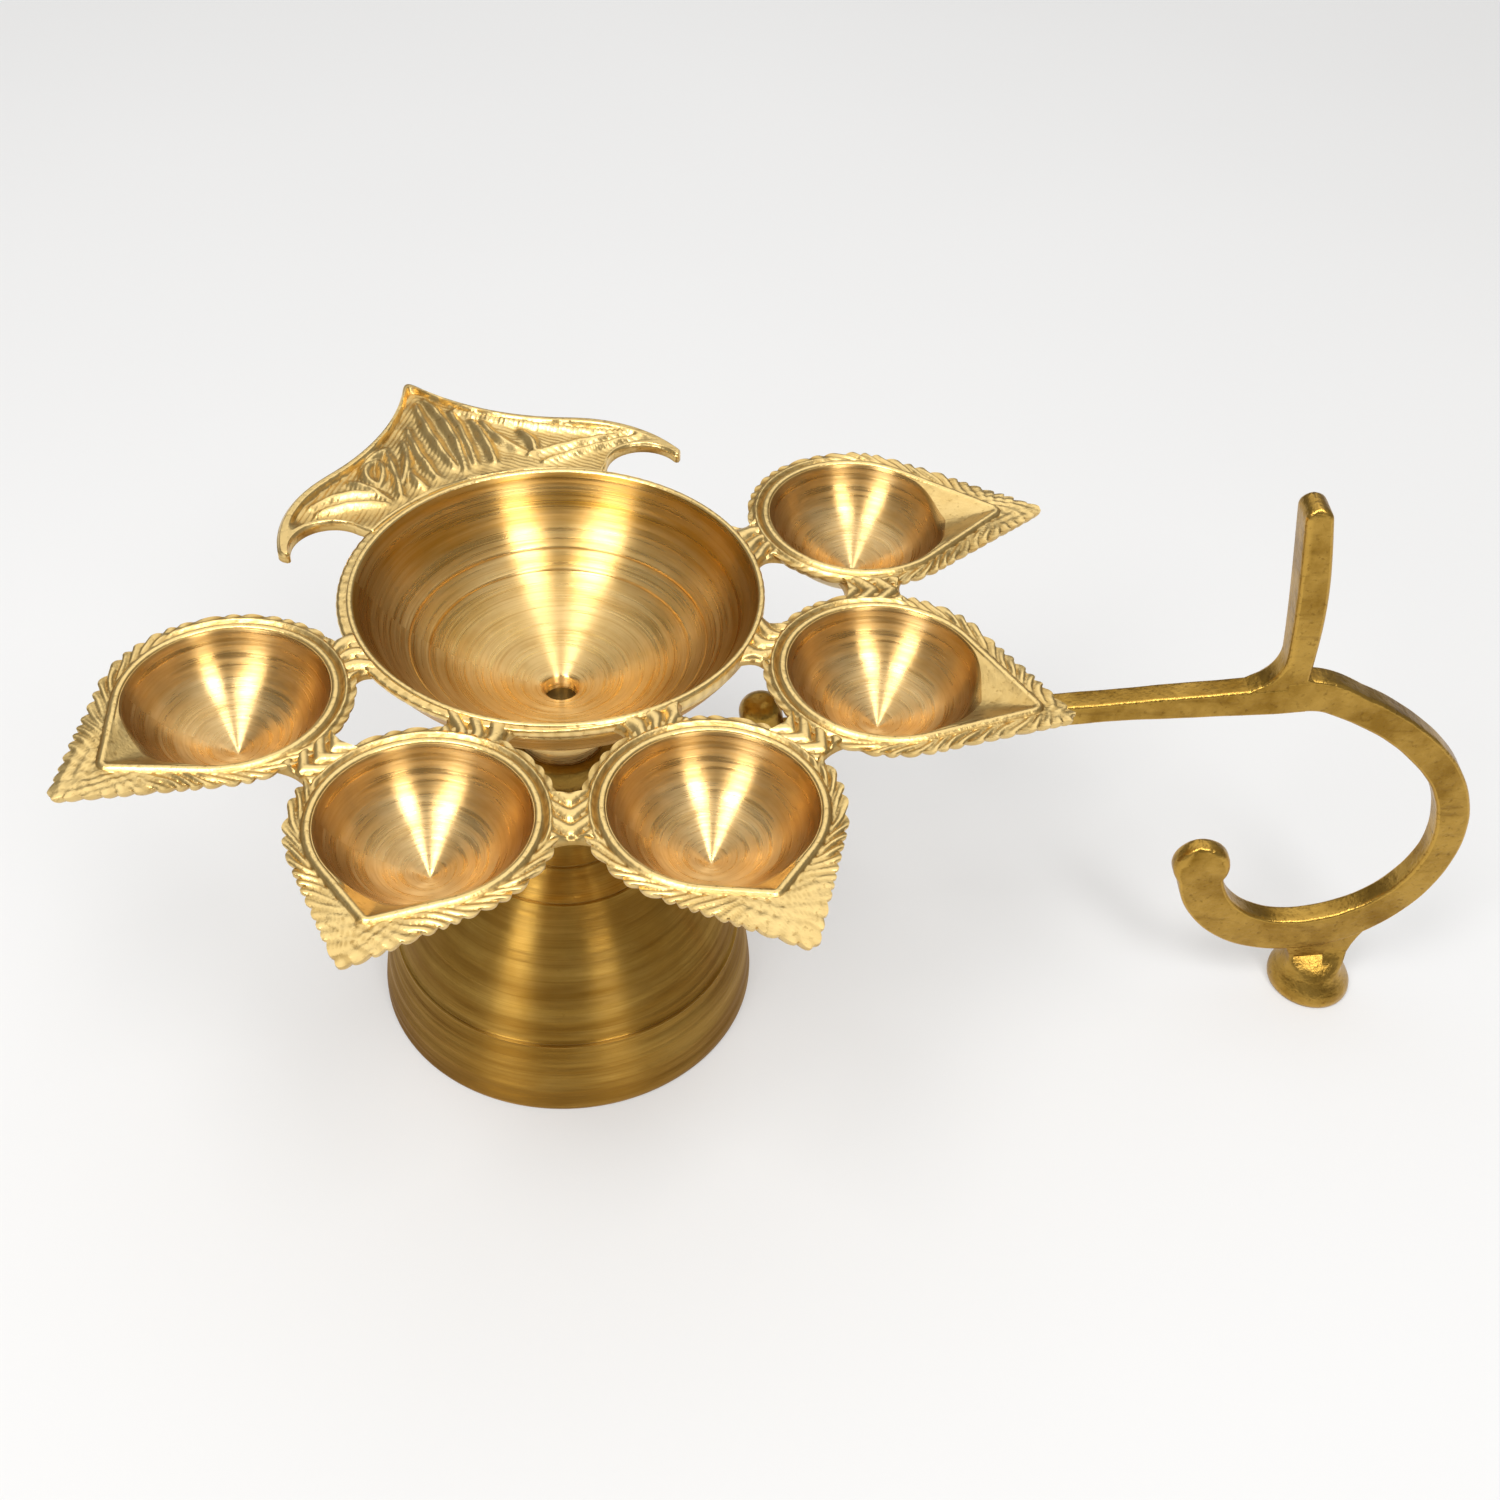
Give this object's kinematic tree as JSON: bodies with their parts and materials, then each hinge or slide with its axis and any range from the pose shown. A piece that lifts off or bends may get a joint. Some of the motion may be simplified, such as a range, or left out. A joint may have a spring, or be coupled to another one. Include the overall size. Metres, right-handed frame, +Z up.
{
  "type": "aarti lamp",
  "caption": "Brass ritual oil lamp: a bell pedestal carries an oil bowl ringed by leaf-shaped wick cups and a carved crest, with a swivelling side handle.",
  "frame": {"origin": "centre of the pedestal's foot ring, on the surface that the lamp stands on", "axes": "+Z up along the pedestal's axis, +X towards the handle at rest"},
  "size_m": [0.268, 0.1575, 0.133],
  "materials": {
    "turned_brass": "lathe-turned, fine circular lines, lightly tarnished",
    "cast_brass": "cast, chased and brightened",
    "handle_brass": "cast and filed, mottled",
    "fastener_brass": "machined"
  },
  "bodies": {
    "lamp": {"pedestal": "turned_brass", "central_bowl": "turned_brass", "crest": "cast_brass", "bowl_web_1": "cast_brass", "bowl_web_2": "cast_brass", "bowl_web_3": "cast_brass", "bowl_web_4": "cast_brass", "bowl_web_5": "cast_brass", "cup_web_1": "cast_brass", "cup_web_2": "cast_brass", "cup_web_3": "cast_brass", "cup_web_4": "cast_brass", "wick_cup_1": "cast_brass", "wick_cup_2": "cast_brass", "wick_cup_3": "cast_brass", "wick_cup_4": "cast_brass", "wick_cup_5": "cast_brass", "clamp_bolt": "fastener_brass", "clamp_washer": "fastener_brass"},
    "handle": {"handle_bar": "handle_brass", "finger_loop": "handle_brass", "thumb_rest": "handle_brass", "bar_stud": "handle_brass", "handle_foot": "handle_brass"}
  },
  "joints": [
    {"name": "handle_swivel", "type": "hinge", "parent": "lamp", "child": "handle", "pos_m": [0, 0, 0.066], "axis": [0, 0, 1], "continuous": true}
  ]
}
